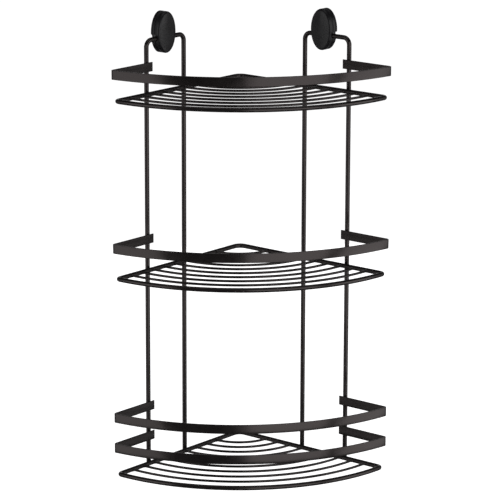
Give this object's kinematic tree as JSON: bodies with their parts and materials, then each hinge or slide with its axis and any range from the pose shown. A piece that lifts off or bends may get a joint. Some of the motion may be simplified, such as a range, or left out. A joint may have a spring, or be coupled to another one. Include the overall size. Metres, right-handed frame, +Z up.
{
  "type": "shower caddy",
  "caption": "Corner shower caddy of black coated wire: quarter-round tiers with flat guard rails on wall frames that hang from oval wall fixings.",
  "frame": {"origin": "on the vertical line where the two shower walls meet, level with the underside of the bottom shelf", "axes": "+Z up, -Y out of the corner into the room along the plane between the walls, +X to the right as seen from the room"},
  "size_m": [0.3182, 0.2197, 0.5372],
  "materials": {
    "black_coating": "satin powder coat",
    "black_plastic": "fine matt texture",
    "inner_plastic": "plain moulded",
    "steel": "turned",
    "foam": "closed-cell foam tape"
  },
  "bodies": {
    "wall_fixings": {"left_adhesive_pad": "foam", "left_wall_plate": "black_plastic", "left_hanger_stud": "steel", "right_adhesive_pad": "foam", "right_wall_plate": "black_plastic", "right_hanger_stud": "steel"},
    "rack": {"left_wall_frame": "black_coating", "right_wall_frame": "black_coating", "bottom_shelf_rim": "black_coating", "middle_shelf_rim": "black_coating", "top_shelf_rim": "black_coating", "bottom_shelf_wire_1": "black_coating", "bottom_shelf_wire_2": "black_coating", "bottom_shelf_wire_3": "black_coating", "bottom_shelf_wire_4": "black_coating", "bottom_shelf_wire_5": "black_coating", "bottom_shelf_wire_6": "black_coating", "bottom_shelf_wire_7": "black_coating", "bottom_shelf_wire_8": "black_coating", "bottom_shelf_wire_9": "black_coating", "middle_shelf_wire_1": "black_coating", "middle_shelf_wire_2": "black_coating", "middle_shelf_wire_3": "black_coating", "middle_shelf_wire_4": "black_coating", "middle_shelf_wire_5": "black_coating", "middle_shelf_wire_6": "black_coating", "middle_shelf_wire_7": "black_coating", "middle_shelf_wire_8": "black_coating", "middle_shelf_wire_9": "black_coating", "top_shelf_wire_1": "black_coating", "top_shelf_wire_2": "black_coating", "top_shelf_wire_3": "black_coating", "top_shelf_wire_4": "black_coating", "top_shelf_wire_5": "black_coating", "top_shelf_wire_6": "black_coating", "top_shelf_wire_7": "black_coating", "top_shelf_wire_8": "black_coating", "top_shelf_wire_9": "black_coating", "bottom_rail_lower": "black_coating", "bottom_rail_upper": "black_coating", "middle_rail": "black_coating", "top_rail": "black_coating", "left_carrier": "inner_plastic", "left_rod_clamp": "inner_plastic", "left_clamp_screw_upper": "steel", "left_clamp_screw_lower": "steel", "right_carrier": "inner_plastic", "right_rod_clamp": "inner_plastic", "right_clamp_screw_upper": "steel", "right_clamp_screw_lower": "steel"},
    "left_cap": {"left_cap": "black_plastic"},
    "right_cap": {"right_cap": "black_plastic"}
  },
  "joints": [
    {"name": "rack_lift", "type": "slide", "parent": "wall_fixings", "child": "rack", "axis": [0, 0, 1], "range_m": [0, 0.008]},
    {"name": "left_cap_pull", "type": "slide", "parent": "rack", "child": "left_cap", "axis": [0.7071, -0.7071, 0], "range_m": [0, 0.02]},
    {"name": "right_cap_pull", "type": "slide", "parent": "rack", "child": "right_cap", "axis": [-0.7071, -0.7071, 0], "range_m": [0, 0.02]}
  ]
}
